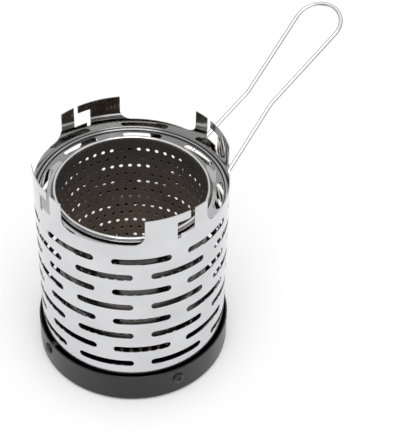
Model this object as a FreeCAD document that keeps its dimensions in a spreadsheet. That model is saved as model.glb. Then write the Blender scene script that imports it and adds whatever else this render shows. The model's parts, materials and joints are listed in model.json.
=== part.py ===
import FreeCAD, Part
import math
import os
import Sketcher

# A radiant heater cover for a small camping burner. It stands upside down, as it is stored:
# the closed cap is at the bottom and the burner end, with its four notched tabs, is at the top.
# A polished sleeve with rows of long slots surrounds a perforated cylinder that glows in use.
# A slotted ring holds the cylinder in the middle of the sleeve, and a wire handle hooks into
# one of the sleeve's slots.
# The origin is the middle of the cap's flat face, +Z points to the burner end, and the cap's
# four screws and the four tabs lie on the X and Y axes. All lengths are in millimetres.

SIZES = [
    ("sleeve_radius", "50.0", "outside of the polished sleeve"),
    ("sleeve_sheet", "0.5", "thickness of the sleeve"),
    ("overall_height", "127.0", "from the cap's face to the tops of the tabs"),
    ("scallop_depth", "15.0", "how deep the sleeve is cut away between its tabs"),
    ("scallop_corner", "6.0", "radius at the foot of each tab"),
    ("tab_half_width", "17.1", "half of a tab's width"),
    ("window_height", "8.3", "height of the window in a tab"),
    ("window_sill", "2.1", "from the scallops' bottom up to the window's sill"),
    ("window_start", "-0.9", "where a window starts, beside the tab's middle"),
    ("window_end", "8.9", "where a window ends"),
    ("slit_width", "2.5", "width of the slit that lets a burner arm into the window"),
    ("detent_width", "2.1", "width of the notch in the sill where the arm settles"),
    ("detent_depth", "2.5", "depth of that notch"),
    ("tab_count", "4", "tabs, and scallops between them"),
    ("slot_row_drop", "0.3", "from the ring's flange down to the uppermost row of slots"),
    ("slot_row_rise", "9.3", "from the cap's skirt up to the lowest row of slots"),
    ("slot_half_length", "14.9", "half of a slot's length"),
    ("slot_height", "4.0", "height of a slot"),
    ("slot_point", "1.0", "length of the pointed end that stands for a slot's round end"),
    ("slot_rows", "8", "rows of slots"),
    ("slots_per_row", "8", "slots round the sleeve in each row"),
    ("slot_turn", "0.8", "degrees from the tabs' middle to the slots of the second row"),
    ("cap_gap", "1.2", "space between the sleeve and the cap's skirt"),
    ("cap_height", "18.5", "height of the cap's skirt"),
    ("cap_sheet", "0.8", "thickness of the cap"),
    ("cap_corner", "2.4", "outside radius between the cap's face and its skirt"),
    ("panel_depth", "1.5", "how far the cap's middle panel is pressed in"),
    ("panel_slope", "1.6", "width of the slope round the pressed panel"),
    ("panel_margin", "0.5", "flat of the panel round the cylinder that stands on it"),
    ("vent_radius", "3.5", "radius of a vent in the panel"),
    ("vent_margin", "2.6", "from the vents out to the cylinder"),
    ("vent_count", "8", "vents in the panel"),
    ("screw_height", "11.5", "height of the cap screws"),
    ("screw_radius", "1.5", "radius of a screw's shank"),
    ("screw_clearance", "0.15", "gap round a shank in the sheets"),
    ("screw_head_radius", "3.2", "radius of a screw's head"),
    ("screw_head_height", "1.25", "how far a head stands out"),
    ("screw_head_bevel", "0.8", "bevel round the top of a head"),
    ("screw_count", "4", "screws round the cap"),
    ("thread_clearance", "0.02", "gap between a shank and its nut"),
    ("shank_beyond_nut", "0.8", "shank that shows past the nut"),
    ("nut_width", "5.5", "across the flats of a nut"),
    ("nut_height", "2.4", "height of a nut"),
    ("spacer_radius", "2.8", "outside of the collar between cap and sleeve"),
    ("seat_clearance", "0.02", "gap at seats that touch"),
    ("channel_width", "10.4", "space between the sleeve and the perforated cylinder"),
    ("cylinder_sheet", "0.5", "thickness of the perforated cylinder"),
    ("lip_rise", "2.9", "from the ring's flat face up to the top of the cylinder's lip"),
    ("lip_reach", "1.5", "how far the lip stands out from the cylinder"),
    ("lip_drop", "1.4", "height of the lip's turned-down edge"),
    ("cylinder_bevel", "0.3", "bevel along the top of the lip and inside the foot"),
    ("hole_width", "2.2", "width of a hole in the cylinder"),
    ("hole_row_drop", "8.3", "from the lip's top down to the uppermost row of holes"),
    ("hole_row_rise", "26.5", "from the cap's face up to the lowest row of holes"),
    ("hole_rows", "14", "rows of holes"),
    ("holes_per_row", "8", "holes in each row"),
    ("ring_sheet", "0.5", "thickness of the slotted ring"),
    ("ring_drop", "6.7", "from the scallops' bottom down to the ring's flat face"),
    ("ring_clearance", "0.1", "gap between the ring and its neighbours"),
    ("ring_flange", "1.9", "from the ring's flat face down to the foot of its flange"),
    ("ring_bead_height", "1.0", "height of the bead at the ring's edge"),
    ("ring_bead_width", "1.8", "width of that bead"),
    ("ring_bead_bevel", "0.45", "bevel on top of that bead"),
    ("ring_slot_margin", "0.8", "from the ring's bead in to its slots"),
    ("ring_slot_width", "3.5", "width of a slot in the ring"),
    ("ring_slot_half_angle", "13.5", "degrees from a ring slot's middle to its tip"),
    ("ring_slot_turn", "10.5", "degrees from the tabs' middle to a ring slot"),
    ("ring_slot_count", "8", "slots in the ring"),
    ("wire_radius", "1.2", "radius of the handle's wire"),
    ("hook_half_spacing", "9.4", "from the handle's middle plane to each hook"),
    ("hook_rise", "8.0", "height of a hook behind the sleeve"),
    ("hook_bend", "3.0", "radius of a hook's bend"),
    ("hook_clearance", "0.3", "gap between a hook and the sheet that it bears on"),
    ("leg_clearance", "0.95", "gap between a leg and the end of its slot"),
    ("handle_slope", "27.1", "degrees by which the handle rises outwards"),
    ("belly_reach", "11.0", "along the handle to where its legs are widest"),
    ("belly_half_width", "13.2", "half of the width there"),
    ("belly_bend", "16.0", "radius of the bend there"),
    ("neck_reach", "59.3", "along the handle to its neck"),
    ("neck_half_width", "8.2", "half of the width at the neck"),
    ("neck_bend", "14.0", "radius of the bend at the neck"),
    ("grip_reach", "115.0", "along the handle to the middle of its round grip"),
    ("grip_radius", "13.4", "radius of the grip"),
]

HANDLE_ROW = 3
CUT_MARGIN = 2.0


class Size:
    """A value held twice: as a number, and as the expression that binds it to the sheet."""

    def __init__(self, number, text):
        self.number = number
        self.text = text

    def __neg__(self):
        return Size(-self.number, "-(%s)" % self.text)

    def __add__(self, other):
        other = as_size(other)
        return Size(self.number + other.number, "(%s + %s)" % (self.text, other.text))

    def __sub__(self, other):
        other = as_size(other)
        return Size(self.number - other.number, "(%s - %s)" % (self.text, other.text))

    def __mul__(self, other):
        other = as_size(other)
        return Size(self.number * other.number, "(%s * %s)" % (self.text, other.text))

    def __truediv__(self, other):
        other = as_size(other)
        return Size(self.number / other.number, "(%s / %s)" % (self.text, other.text))


def as_size(value):
    return value if isinstance(value, Size) else Size(float(value), repr(float(value)))


def root(value):
    return Size(math.sqrt(value.number), "sqrt(%s)" % value.text)


def cosine(degrees):
    return Size(math.cos(math.radians(degrees.number)), "cos(%s)" % degrees.text)


def arcsine_degrees(ratio):
    return math.degrees(math.asin(ratio.number))


doc = FreeCAD.newDocument("heater_cover")
sheet = doc.addObject("Spreadsheet::Sheet", "Sizes")
size = {}
for line, (word, number, note) in enumerate(SIZES, start=1):
    sheet.set("A%d" % line, word)
    sheet.set("B%d" % line, number)
    sheet.set("C%d" % line, note)
    sheet.setAlias("B%d" % line, word)
    size[word] = Size(float(number), "Sizes." + word)
doc.recompute()

# Values that several pieces share.
sleeve_radius = size["sleeve_radius"]
sleeve_inner = sleeve_radius - size["sleeve_sheet"]
cylinder_outer = sleeve_inner - size["channel_width"]
cylinder_inner = cylinder_outer - size["cylinder_sheet"]
cap_inner = sleeve_radius + size["cap_gap"]
cap_radius = cap_inner + size["cap_sheet"]
sleeve_foot = size["cap_sheet"] + size["cap_corner"]
scallop_floor = size["overall_height"] - size["scallop_depth"]
ring_face = scallop_floor - size["ring_drop"]
ring_foot = ring_face - size["ring_flange"]
lip_top = ring_face + size["lip_rise"]
zero = as_size(0)


def count(word):
    return int(size[word].number)


def new_body(label):
    body = doc.addObject("PartDesign::Body", label)
    body.Label = label
    return body


def origin_feature(body, role):
    return next(item for item in body.Origin.OriginFeatures if item.Role == role)


def new_sketch(body, name, role, turn=None):
    """A sketch on one of the body's own planes, turned about the body's upright axis."""
    sketch = body.newObject("Sketcher::SketchObject", name)
    sketch.AttachmentSupport = [(origin_feature(body, role), "")]
    sketch.MapMode = "FlatFace"
    if turn is not None:
        upright = FreeCAD.Vector(0, 1, 0) if role == "YZ_Plane" else FreeCAD.Vector(0, 0, 1)
        rotation = FreeCAD.Rotation(upright, turn.number)
        sketch.AttachmentOffset = FreeCAD.Placement(FreeCAD.Vector(), rotation)
        sketch.setExpression("AttachmentOffset.Rotation.Angle", turn.text)
    return sketch


def constrain(sketch, kind, where, value):
    index = sketch.addConstraint(Sketcher.Constraint(kind, *where, value.number))
    sketch.setExpression("Constraints[%d]" % index, value.text)


def place(sketch, axis, geometry, end, value):
    """Fix one coordinate of a point, on the axis itself when the value is nought."""
    if abs(value.number) < 1e-9:
        line = -2 if axis == "X" else -1
        sketch.addConstraint(Sketcher.Constraint("PointOnObject", geometry, end, line))
    else:
        constrain(sketch, "Distance" + axis, (-1, 1, geometry, end), value)


def same(first, second):
    return abs(first.number - second.number) < 1e-9


def add_outline(sketch, corners):
    """Draw a closed outline. A corner is (x, y) or (x, y, radius), and a rounded corner joins
    a level edge and an upright one."""
    total = len(corners)
    spots = [FreeCAD.Vector(corner[0].number, corner[1].number, 0) for corner in corners]
    rounded = [len(corner) > 2 for corner in corners]
    ends = []
    for i in range(total):
        along = spots[(i + 1) % total] - spots[i]
        along.normalize()
        start = spots[i] + along * (corners[i][2].number if rounded[i] else 0)
        after = (i + 1) % total
        stop = spots[after] - along * (corners[after][2].number if rounded[after] else 0)
        ends.append((start, stop))
    lines = [sketch.addGeometry(Part.LineSegment(start, stop)) for start, stop in ends]
    for i in range(total):
        before = i - 1
        x, y = corners[i][0], corners[i][1]
        following = corners[(i + 1) % total]
        level = same(y, following[1])
        upright = same(x, following[0])
        if level:
            sketch.addConstraint(Sketcher.Constraint("Horizontal", lines[i]))
            place(sketch, "Y", lines[i], 1, y)
        if upright:
            sketch.addConstraint(Sketcher.Constraint("Vertical", lines[i]))
            place(sketch, "X", lines[i], 1, x)
        if rounded[i]:
            radius = corners[i][2]
            add_corner_arc(sketch, lines[before], lines[i], ends[before][1], ends[i][0], spots[i], radius)
            continue
        sketch.addConstraint(Sketcher.Constraint("Coincident", lines[before], 2, lines[i], 1))
        previous = corners[before]
        if not (upright or same(x, previous[0])):
            place(sketch, "X", lines[i], 1, x)
        if not (level or same(y, previous[1])):
            place(sketch, "Y", lines[i], 1, y)


def add_corner_arc(sketch, line_in, line_out, start, stop, corner, radius):
    centre = start + stop - corner
    first = math.atan2(start.y - centre.y, start.x - centre.x)
    last = math.atan2(stop.y - centre.y, stop.x - centre.x)
    turns_left = (corner - start).cross(stop - corner).z > 0
    circle = Part.Circle(centre, FreeCAD.Vector(0, 0, 1), radius.number)
    if turns_left:
        arc = sketch.addGeometry(Part.ArcOfCircle(circle, first, last))
        arc_start, arc_stop = 1, 2
    else:
        arc = sketch.addGeometry(Part.ArcOfCircle(circle, last, first))
        arc_start, arc_stop = 2, 1
    sketch.addConstraint(Sketcher.Constraint("Tangent", line_in, 2, arc, arc_start))
    sketch.addConstraint(Sketcher.Constraint("Tangent", arc, arc_stop, line_out, 1))
    constrain(sketch, "Radius", (arc,), radius)


def add_slot(sketch, half_length, height, point, middle):
    """Draw a level slot, its middle at the given height. Each end is a blunt point in place of a
    half round, which keeps the many slots light."""
    low = middle - height / 2
    high = middle + height / 2
    add_outline(sketch, [
        (-half_length, middle),
        (-half_length + point, low),
        (half_length - point, low),
        (half_length, middle),
        (half_length - point, high),
        (-half_length + point, high),
    ])


def add_circle(sketch, x, y, radius):
    spot = FreeCAD.Vector(x.number, y.number, 0)
    circle = sketch.addGeometry(Part.Circle(spot, FreeCAD.Vector(0, 0, 1), radius.number))
    constrain(sketch, "Radius", (circle,), radius)
    place(sketch, "X", circle, 3, x)
    place(sketch, "Y", circle, 3, y)


def revolve(body, sketch, name):
    feature = body.newObject("PartDesign::Revolution", name)
    feature.Profile = sketch
    feature.ReferenceAxis = (sketch, ["V_Axis"])
    feature.Angle = 360.0
    return feature


def cut_round(body, sketch, name, length, copies):
    """Cut the sketch away from its own plane outwards, and repeat the cut round the axis."""
    doc.recompute()
    before = body.Shape.Volume
    pocket = body.newObject("PartDesign::Pocket", name)
    pocket.Profile = sketch
    pocket.Type = "Length"
    pocket.Length = length.number
    pocket.setExpression("Length", length.text)
    pocket.Reversed = True
    doc.recompute()
    single = before - body.Shape.Volume
    pattern = body.newObject("PartDesign::PolarPattern", name + "_pattern")
    pattern.Originals = [pocket]
    pattern.Axis = (origin_feature(body, "Z_Axis"), [""])
    pattern.Angle = 360.0
    pattern.Occurrences = int(copies.number)
    pattern.setExpression("Occurrences", copies.text)
    body.Tip = pattern
    doc.recompute()
    removed = before - body.Shape.Volume
    if single <= 0 or abs(removed - single * copies.number) > 0.1 * removed:
        raise RuntimeError("%s removed %.2f mm3, one copy %.2f mm3" % (name, removed, single))


def ring_outline(inner, outer, low, high):
    return [(inner, low), (outer, low), (outer, high), (inner, high)]


def make_outer_sleeve():
    """Thin tube with four tabs at the burner end and eight rows of long slots."""
    body = new_body("outer_sleeve")
    wall = new_sketch(body, "sleeve_wall", "XZ_Plane")
    add_outline(wall, ring_outline(sleeve_inner, sleeve_radius, sleeve_foot, size["overall_height"]))
    revolve(body, wall, "sleeve_tube")
    cut_depth = sleeve_radius + CUT_MARGIN
    above = size["overall_height"] + CUT_MARGIN

    # A tab is as wide as tab_half_width says, and the scallop takes the rest of the quarter.
    half_turn = 180.0 / count("tab_count")
    scallop_angle = half_turn - arcsine_degrees(size["tab_half_width"] / sleeve_radius)
    scallop_half = scallop_width(scallop_angle)
    scallop = new_sketch(body, "scallop", "YZ_Plane", as_size(180) / size["tab_count"])
    add_outline(scallop, [
        (-scallop_half, scallop_floor, size["scallop_corner"]),
        (scallop_half, scallop_floor, size["scallop_corner"]),
        (scallop_half, above),
        (-scallop_half, above),
    ])
    cut_round(body, scallop, "scallops", cut_depth, size["tab_count"])

    # The slit lets a burner's arm down into the window, and the notch keeps it from turning back.
    sill = scallop_floor + size["window_sill"]
    window = new_sketch(body, "window", "YZ_Plane")
    start, end = size["window_start"], size["window_end"]
    add_outline(window, [
        (start, sill - size["detent_depth"]),
        (start + size["detent_width"], sill - size["detent_depth"]),
        (start + size["detent_width"], sill),
        (end, sill),
        (end, above),
        (end - size["slit_width"], above),
        (end - size["slit_width"], sill + size["window_height"]),
        (start, sill + size["window_height"]),
    ])
    cut_round(body, window, "windows", cut_depth, size["tab_count"])

    for first, name in ((0, "odd_rows"), (1, "even_rows")):
        rows = new_sketch(body, name, "YZ_Plane", slot_row_turn(first))
        for row in range(first, count("slot_rows"), 2):
            middle = slot_row_height(row)
            add_slot(rows, size["slot_half_length"], size["slot_height"], size["slot_point"], middle)
        cut_round(body, rows, name + "_slots", cut_depth, size["slots_per_row"])

    holes = new_sketch(body, "sleeve_screw_hole", "YZ_Plane")
    add_circle(holes, zero, size["screw_height"], size["screw_radius"] + size["screw_clearance"])
    cut_round(body, holes, "sleeve_screw_holes", cut_depth, size["screw_count"])
    return body


def scallop_width(half_angle):
    """Half of the chord across a scallop, bound to the tab's width and the sleeve's radius."""
    tab_angle = "asin(%s / %s)" % (size["tab_half_width"].text, sleeve_radius.text)
    text = "%s * sin(180 deg / %s - %s)" % (sleeve_radius.text, size["tab_count"].text, tab_angle)
    return Size(sleeve_radius.number * math.sin(math.radians(half_angle)), text)


def slot_row_turn(row):
    """The rows alternate: those counted even from the top sit half a pitch round."""
    shift = size["slot_turn"]
    if row % 2 == 0:
        shift = shift + as_size(180) / size["slots_per_row"]
    return shift


def slot_row_height(row):
    """The rows are spread evenly between the ring's flange and the cap's skirt."""
    highest = ring_foot - size["slot_row_drop"] - size["slot_height"] / 2
    lowest = size["cap_height"] + size["slot_row_rise"]
    return highest - (highest - lowest) * row / (size["slot_rows"] - 1)


def hole_row_height(row):
    """The rows of holes are spread evenly from below the lip down to the lowest row."""
    highest = lip_top - size["hole_row_drop"]
    return highest - (highest - size["hole_row_rise"]) * row / (size["hole_rows"] - 1)


def make_cap():
    """Pressed cup: flat resting rim, a skirt, and a vented panel that carries the cylinder."""
    body = new_body("cap")
    sheet_size = size["cap_sheet"]
    corner = size["cap_corner"]
    panel_flat = cylinder_outer + size["panel_margin"]
    panel_edge = panel_flat + size["panel_slope"]
    under_shift = sheet_size / 2
    depth = size["panel_depth"]
    wall = new_sketch(body, "cap_wall", "XZ_Plane")
    add_outline(wall, [
        (zero, depth),
        (panel_flat + under_shift, depth),
        (panel_edge + under_shift, zero),
        (cap_radius, zero, corner),
        (cap_radius, size["cap_height"]),
        (cap_inner, size["cap_height"]),
        (cap_inner, corner),
        (cap_radius - corner, sheet_size),
        (panel_edge, sheet_size),
        (panel_flat, depth + sheet_size),
        (zero, depth + sheet_size),
    ])
    revolve(body, wall, "cap_cup")

    vent = new_sketch(body, "vent", "XY_Plane")
    vent_circle = cylinder_inner - size["vent_margin"] - size["vent_radius"]
    add_circle(vent, vent_circle, zero, size["vent_radius"])
    cut_round(body, vent, "vents", size["cap_corner"] + size["panel_depth"], size["vent_count"])

    hole = new_sketch(body, "cap_screw_hole", "YZ_Plane")
    add_circle(hole, zero, size["screw_height"], size["screw_radius"] + size["screw_clearance"])
    cut_round(body, hole, "cap_screw_holes", cap_radius + CUT_MARGIN, size["screw_count"])
    return body


def make_radiant_cylinder():
    """Perforated tube that stands on the cap's panel, with a lip that hooks over the ring."""
    body = new_body("radiant_cylinder")
    thick = size["cylinder_sheet"]
    lip_outer = cylinder_outer + size["lip_reach"]
    foot = size["panel_depth"] + size["cap_sheet"]
    bevel = size["cylinder_bevel"]
    wall = new_sketch(body, "cylinder_wall", "XZ_Plane")
    add_outline(wall, [
        (cylinder_inner, foot + bevel),
        (cylinder_inner + bevel, foot),
        (cylinder_outer, foot),
        (cylinder_outer, lip_top - thick),
        (lip_outer - thick, lip_top - thick),
        (lip_outer - thick, lip_top - size["lip_drop"]),
        (lip_outer, lip_top - size["lip_drop"]),
        (lip_outer, lip_top - bevel),
        (lip_outer - bevel, lip_top),
        (cylinder_inner + bevel, lip_top),
        (cylinder_inner, lip_top - bevel),
    ])
    revolve(body, wall, "cylinder_tube")

    # Square holes stand for the many small round ones, on the same rows.
    half = size["hole_width"] / 2
    turn = as_size(180) / size["holes_per_row"]
    for first, shift, name in ((0, zero, "first_holes"), (1, turn, "second_holes")):
        rows = new_sketch(body, name, "YZ_Plane", shift)
        for row in range(first, count("hole_rows"), 2):
            middle = hole_row_height(row)
            add_outline(rows, ring_outline(-half, half, middle - half, middle + half))
        cut_round(body, rows, name + "_rows", cylinder_outer + CUT_MARGIN, size["holes_per_row"])
    return body


def make_slotted_ring():
    """Pressed ring with a flange along the sleeve, a bead, eight slots and an inner collar."""
    body = new_body("slotted_ring")
    thick = size["ring_sheet"]
    outer = sleeve_inner - size["ring_clearance"]
    face = ring_face
    bead_top = face + size["ring_bead_height"]
    bead_inner = outer - size["ring_bead_width"]
    collar_inner = cylinder_outer + size["ring_clearance"]
    collar_top = lip_top - size["cylinder_sheet"] - size["ring_clearance"]
    bevel = size["ring_bead_bevel"]
    profile = new_sketch(body, "ring_profile", "XZ_Plane")
    add_outline(profile, [
        (outer, ring_foot),
        (outer, bead_top - bevel),
        (outer - bevel, bead_top),
        (bead_inner + bevel, bead_top),
        (bead_inner, bead_top - bevel),
        (bead_inner, face),
        (collar_inner + thick, face),
        (collar_inner + thick, collar_top),
        (collar_inner, collar_top),
        (collar_inner, face - thick),
        (bead_inner + thick, face - thick),
        (bead_inner + thick, bead_top - thick),
        (outer - thick, bead_top - thick),
        (outer - thick, ring_foot),
    ])
    revolve(body, profile, "ring_pressing")

    slot = new_sketch(body, "ring_slot", "XY_Plane", size["ring_slot_turn"])
    slot_outer = bead_inner - size["ring_slot_margin"]
    slot_inner = slot_outer - size["ring_slot_width"]
    add_arc_slot(slot, slot_inner, slot_outer, size["ring_slot_half_angle"])
    cut_round(body, slot, "ring_slots", face + CUT_MARGIN, size["ring_slot_count"])
    return body


def add_arc_slot(sketch, inner, outer, half_angle):
    """Draw a slot along an arc about the origin, with round ends, its middle on the X axis."""
    end_radius = (outer - inner) / 2
    middle = (outer + inner) / 2
    tip_shift = math.degrees(end_radius.number / middle.number)
    bend = math.radians(half_angle.number - tip_shift)
    normal = FreeCAD.Vector(0, 0, 1)
    centre_x = middle.number * math.cos(bend)
    centre_y = middle.number * math.sin(bend)
    origin = FreeCAD.Vector()
    outer_circle = Part.Circle(origin, normal, outer.number)
    inner_circle = Part.Circle(origin, normal, inner.number)
    upper_circle = Part.Circle(FreeCAD.Vector(centre_x, centre_y, 0), normal, end_radius.number)
    lower_circle = Part.Circle(FreeCAD.Vector(centre_x, -centre_y, 0), normal, end_radius.number)
    outer_arc = sketch.addGeometry(Part.ArcOfCircle(outer_circle, -bend, bend))
    upper_arc = sketch.addGeometry(Part.ArcOfCircle(upper_circle, bend, bend + math.pi))
    inner_arc = sketch.addGeometry(Part.ArcOfCircle(inner_circle, -bend, bend))
    lower_arc = sketch.addGeometry(Part.ArcOfCircle(lower_circle, -bend - math.pi, -bend))
    sketch.addConstraint(Sketcher.Constraint("Coincident", outer_arc, 3, -1, 1))
    sketch.addConstraint(Sketcher.Constraint("Coincident", inner_arc, 3, -1, 1))
    sketch.addConstraint(Sketcher.Constraint("Tangent", outer_arc, 2, upper_arc, 1))
    sketch.addConstraint(Sketcher.Constraint("Tangent", upper_arc, 2, inner_arc, 2))
    sketch.addConstraint(Sketcher.Constraint("Tangent", inner_arc, 1, lower_arc, 1))
    sketch.addConstraint(Sketcher.Constraint("Tangent", lower_arc, 2, outer_arc, 1))
    constrain(sketch, "Radius", (outer_arc,), outer)
    constrain(sketch, "Radius", (inner_arc,), inner)
    tip_text = "%s - 180 / pi * %s / %s" % (half_angle.text, end_radius.text, middle.text)
    height = Size(centre_y, "%s * sin(%s)" % (middle.text, tip_text))
    place(sketch, "Y", upper_arc, 3, height)
    place(sketch, "Y", lower_arc, 3, -height)


def turn_to_screw(body, index):
    """Stand a piece modelled along the X axis at its screw's height and place round the cap."""
    angle = 360.0 / count("screw_count") * index
    turned = FreeCAD.Rotation(FreeCAD.Vector(0, 0, 1), angle)
    upright_to_x = FreeCAD.Rotation(FreeCAD.Vector(0, 1, 0), 90)
    height = FreeCAD.Vector(0, 0, size["screw_height"].number)
    body.Placement = FreeCAD.Placement(height, turned.multiply(upright_to_x))
    body.setExpression("Placement.Base.z", size["screw_height"].text)


def sag(radius, half_width):
    """How far a flat end of this half width stays from the top of a round wall."""
    return radius - root(radius * radius - half_width * half_width)


def nut_seat():
    corner = size["nut_width"] / 2 / cosine(as_size(30))
    return sleeve_inner - sag(sleeve_inner, corner) - size["seat_clearance"]


def make_cap_screw(index):
    """Pan-headed screw through the cap's skirt, its spacer and the sleeve."""
    body = new_body("cap_screw_%d" % (index + 1))
    under_head = cap_radius + size["seat_clearance"]
    tip = nut_seat() - size["nut_height"] - size["shank_beyond_nut"]
    head = size["screw_head_radius"]
    bevel = size["screw_head_bevel"]
    profile = new_sketch(body, "screw_profile_%d" % (index + 1), "XZ_Plane")
    add_outline(profile, [
        (zero, tip),
        (size["screw_radius"], tip),
        (size["screw_radius"], under_head),
        (head, under_head),
        (head, under_head + size["screw_head_height"] - bevel),
        (head - bevel, under_head + size["screw_head_height"]),
        (zero, under_head + size["screw_head_height"]),
    ])
    revolve(body, profile, "screw_body_%d" % (index + 1))
    turn_to_screw(body, index)
    return body


def make_cap_nut(index):
    """Hexagon nut on the screw, against the inside of the sleeve."""
    body = new_body("cap_nut_%d" % (index + 1))
    sketch = new_sketch(body, "nut_hexagon_%d" % (index + 1), "XY_Plane")
    corner = size["nut_width"] / 2 / cosine(as_size(30))
    half_flat = size["nut_width"] / 2
    add_outline(sketch, [
        (corner, zero),
        (corner / 2, half_flat),
        (-corner / 2, half_flat),
        (-corner, zero),
        (-corner / 2, -half_flat),
        (corner / 2, -half_flat),
    ])
    add_circle(sketch, zero, zero, size["screw_radius"] + size["thread_clearance"])
    lift_pad(body, sketch, "nut_block_%d" % (index + 1), nut_seat() - size["nut_height"], size["nut_height"])
    turn_to_screw(body, index)
    return body


def make_cap_spacer(index):
    """Collar on the screw that keeps the cap's skirt clear of the hot sleeve."""
    body = new_body("cap_spacer_%d" % (index + 1))
    sketch = new_sketch(body, "spacer_ring_%d" % (index + 1), "XY_Plane")
    add_circle(sketch, zero, zero, size["spacer_radius"])
    add_circle(sketch, zero, zero, size["screw_radius"] + size["screw_clearance"])
    start = sleeve_radius + size["seat_clearance"]
    stop = cap_inner - sag(cap_inner, size["spacer_radius"]) - size["seat_clearance"]
    lift_pad(body, sketch, "spacer_block_%d" % (index + 1), start, stop - start)
    turn_to_screw(body, index)
    return body


def lift_pad(body, sketch, name, start, length):
    """Pad the sketch from the given height along the body's upright axis."""
    sketch.AttachmentOffset = FreeCAD.Placement(FreeCAD.Vector(0, 0, start.number), FreeCAD.Rotation())
    sketch.setExpression("AttachmentOffset.Base.z", start.text)
    pad = body.newObject("PartDesign::Pad", name)
    pad.Profile = sketch
    pad.Type = "Length"
    pad.Length = length.number
    pad.setExpression("Length", length.text)


def rounded_run(points, radii):
    """Straight runs through the points, with a tangent arc of the given radius at each bend."""
    edges = []
    start = points[0]
    for i in range(1, len(points) - 1):
        before = (points[i - 1] - points[i]).normalize()
        after = (points[i + 1] - points[i]).normalize()
        half_angle = before.getAngle(after) / 2
        setback = radii[i - 1] / math.tan(half_angle)
        middle_line = (before + after).normalize()
        centre = points[i] + middle_line * (radii[i - 1] / math.sin(half_angle))
        arc_start = points[i] + before * setback
        arc_stop = points[i] + after * setback
        arc_middle = centre - middle_line * radii[i - 1]
        edges.append(Part.LineSegment(start, arc_start).toShape())
        edges.append(Part.Arc(arc_start, arc_middle, arc_stop).toShape())
        start = arc_stop
    edges.append(Part.LineSegment(start, points[-1]).toShape())
    return edges


def make_wire_handle():
    """One wire bent in two planes: two hooks, legs that meet at a neck, and a round grip.

    It is modelled about its hinge line, where the legs pass through the slot: X points along
    the handle, seen from above, Y across it and Z up."""
    wire = size["wire_radius"].number
    half_hook = size["hook_half_spacing"].number
    wall_middle = (sleeve_radius + sleeve_inner).number / 2
    hinge_reach = math.sqrt(wall_middle**2 - half_hook**2)
    hook_circle = sleeve_inner.number - size["hook_clearance"].number - wire
    hook_x = math.sqrt(hook_circle**2 - half_hook**2) - hinge_reach
    bend = size["hook_bend"].number
    slope = math.radians(size["handle_slope"].number)

    # The bend of each hook passes through the hinge line, and the legs leave it along the slope.
    bend_x = hook_x + bend
    bend_z = math.sqrt(bend**2 - bend_x**2)
    leave_x = bend_x + bend * math.sin(slope)
    leave_z = bend_z - bend * math.cos(slope)
    corner_z = leave_z - (leave_x - hook_x) * math.tan(slope)
    sleeve_x = sleeve_radius.number - hinge_reach
    sleeve_z = leave_z + (sleeve_x - leave_x) * math.tan(slope)

    def on_slope(reach, across):
        along_x = sleeve_x + reach * math.cos(slope)
        return FreeCAD.Vector(along_x, across, sleeve_z + reach * math.sin(slope))

    grip = size["grip_radius"].number
    grip_reach = size["grip_reach"].number
    neck_reach = size["neck_reach"].number
    neck_half = size["neck_half_width"].number
    run = grip_reach - neck_reach
    to_grip = math.hypot(run, neck_half)
    lean = math.asin(grip / to_grip) - math.atan2(neck_half, run)
    touch_reach = grip_reach - grip * math.sin(lean)
    touch_half = grip * math.cos(lean)

    hook_top = size["hook_rise"].number
    belly = size["belly_reach"].number
    belly_half = size["belly_half_width"].number
    bends = [bend, size["belly_bend"].number, size["neck_bend"].number]

    def leg(side):
        return [
            FreeCAD.Vector(hook_x, side * half_hook, hook_top),
            FreeCAD.Vector(hook_x, side * half_hook, corner_z),
            on_slope(belly, side * belly_half),
            on_slope(neck_reach, side * neck_half),
            on_slope(touch_reach, side * touch_half),
        ]

    left = rounded_run(leg(1), bends)
    right = rounded_run(leg(-1)[::-1], bends[::-1])
    crown = Part.Arc(on_slope(touch_reach, touch_half), on_slope(grip_reach + grip, 0.0),
                     on_slope(touch_reach, -touch_half)).toShape()
    path = Part.Wire(left + [crown] + right)
    top = FreeCAD.Vector(hook_x, half_hook, hook_top)
    section = Part.Wire(Part.makeCircle(wire, top, FreeCAD.Vector(0, 0, -1)))
    rod = path.makePipeShell([section], True, False)

    handle = doc.addObject("Part::Feature", "wire_handle")
    handle.Label = "wire_handle"
    handle.Shape = rod
    slot_middle = slot_row_turn(HANDLE_ROW - 1).number
    slot_half = math.asin(size["slot_half_length"].number / sleeve_radius.number)
    leg_room = math.asin((wire + size["leg_clearance"].number) / wall_middle)
    leg_angle = math.asin(half_hook / wall_middle)
    handle_turn = slot_middle - math.degrees(slot_half - leg_room - leg_angle)
    turn = FreeCAD.Rotation(FreeCAD.Vector(0, 0, 1), handle_turn)
    outwards = turn.multVec(FreeCAD.Vector(hinge_reach, 0, 0))
    hinge_height = slot_row_height(HANDLE_ROW - 1).number
    handle.Placement = FreeCAD.Placement(outwards + FreeCAD.Vector(0, 0, hinge_height), turn)
    swept = math.pi * wire**2 * path.Length
    print("handle: turn %.3f deg, hinge at %.3f %.3f %.3f" % (handle_turn, outwards.x, outwards.y, hinge_height))
    print("handle: volume %.1f, section times length %.1f" % (rod.Volume, swept))
    return handle


pieces = [make_outer_sleeve(), make_cap(), make_radiant_cylinder(), make_slotted_ring()]
for screw in range(count("screw_count")):
    pieces.append(make_cap_screw(screw))
    pieces.append(make_cap_nut(screw))
    pieces.append(make_cap_spacer(screw))
pieces.append(make_wire_handle())
doc.recompute()

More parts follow.
